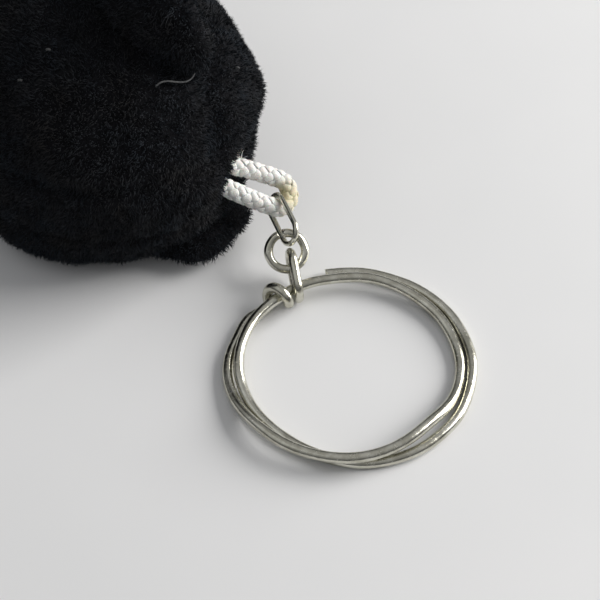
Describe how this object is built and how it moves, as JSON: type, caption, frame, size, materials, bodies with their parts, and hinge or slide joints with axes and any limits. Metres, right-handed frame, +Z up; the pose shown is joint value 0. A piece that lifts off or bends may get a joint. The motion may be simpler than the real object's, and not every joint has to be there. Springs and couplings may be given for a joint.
{
  "type": "plush keychain",
  "caption": "Small stuffed bear of short dark pile lying on its side, with a braided cord loop, jump ring, two chain links and a loose coil key ring.",
  "frame": {"origin": "on the resting plane, below the middle of the head", "axes": "+X from the feet to the top of the head, +Y the way the face looks, +Z up, towards the bear's left side"},
  "size_m": [0.1187, 0.0627, 0.0387],
  "materials": {
    "pile": "short black pile plush",
    "stuffing": "polyester fibre filling",
    "thread": "embroidery thread",
    "cord": "white braided polyester cord",
    "label": "woven tape, blank",
    "nickel": "worn nickel plating",
    "bead": "polished",
    "washer": "moulded"
  },
  "bodies": {
    "torso": {"torso_front_panel": "pile", "torso_back_panel": "pile", "torso_stuffing": "stuffing", "tail": "pile", "side_label": "label"},
    "head": {"head_left_panel": "pile", "head_gusset": "pile", "head_right_panel": "pile", "head_stuffing": "stuffing", "muzzle": "pile", "nose": "bead", "mouth_thread": "thread", "eye_left": "bead", "eye_right": "bead", "eye_washer_left": "washer", "eye_washer_right": "washer", "ear_left": "pile", "ear_right": "pile", "cord_knot": "cord"},
    "arm_left": {"arm_left": "pile", "arm_left_stuffing": "stuffing"},
    "arm_right": {"arm_right": "pile", "arm_right_stuffing": "stuffing"},
    "leg_left": {"leg_left": "pile", "leg_left_stuffing": "stuffing", "foot_pad_left": "pile"},
    "leg_right": {"leg_right": "pile", "leg_right_stuffing": "stuffing", "foot_pad_right": "pile"},
    "cord_root": {"cord_root": "cord"},
    "cord_loop": {"cord_loop": "cord"},
    "jump_ring": {"jump_ring": "nickel"},
    "round_link": {"round_link": "nickel"},
    "oval_link": {"oval_link": "nickel"},
    "key_ring": {"key_ring": "nickel"}
  },
  "joints": [
    {"name": "neck_nod", "type": "hinge", "parent": "torso", "child": "head", "pos_m": [-0.02172, 0, 0.0135], "axis": [0, 0, 1], "range_deg": [-14, 14]},
    {"name": "shoulder_left", "type": "hinge", "parent": "torso", "child": "arm_left", "pos_m": [-0.03101, 0.01546, 0.0211], "axis": [0, 0, 1], "range_deg": [-35, 12]},
    {"name": "shoulder_right", "type": "hinge", "parent": "torso", "child": "arm_right", "pos_m": [-0.03101, 0.01546, 0.0059], "axis": [0, 0, 1], "range_deg": [-35, 12]},
    {"name": "hip_left", "type": "hinge", "parent": "torso", "child": "leg_left", "pos_m": [-0.05248, 0.01662, 0.0202], "axis": [0, 0, 1], "range_deg": [-12, 35]},
    {"name": "hip_right", "type": "hinge", "parent": "torso", "child": "leg_right", "pos_m": [-0.05248, 0.01662, 0.0068], "axis": [0, 0, 1], "range_deg": [-12, 35]},
    {"name": "cord_swing", "type": "hinge", "parent": "head", "child": "cord_root", "pos_m": [0.0181, 0, 0.0115], "axis": [0.6304, -0.0029, 0.7763], "range_deg": [-10, 4]},
    {"name": "cord_lift", "type": "hinge", "parent": "cord_root", "child": "cord_loop", "pos_m": [0.02111, 0.00257, 0.00906], "axis": [-0.4275, 0.8334, 0.3503], "range_deg": [-20, 20]},
    {"name": "jump_ring_swing", "type": "hinge", "parent": "cord_loop", "child": "jump_ring", "pos_m": [0.02475, 0.00341, 0.00611], "axis": [0.5253, 0.7379, -0.4238], "range_deg": [-35, 20]},
    {"name": "round_link_swing", "type": "hinge", "parent": "jump_ring", "child": "round_link", "pos_m": [0.02934, 0.00046, 0.00573], "axis": [-0.2808, -0.3198, -0.9049], "range_deg": [-20, 20]},
    {"name": "oval_link_swing", "type": "hinge", "parent": "round_link", "child": "oval_link", "pos_m": [0.0306, -0.00147, 0.00315], "axis": [0.6152, 0.7598, 0.2106], "range_deg": [-20, 20]},
    {"name": "key_ring_flip", "type": "hinge", "parent": "oval_link", "child": "key_ring", "pos_m": [0.03229, -0.00305, 0.00208], "axis": [0.4517, 0.8922, 0.0021], "range_deg": [-45, 20]}
  ]
}
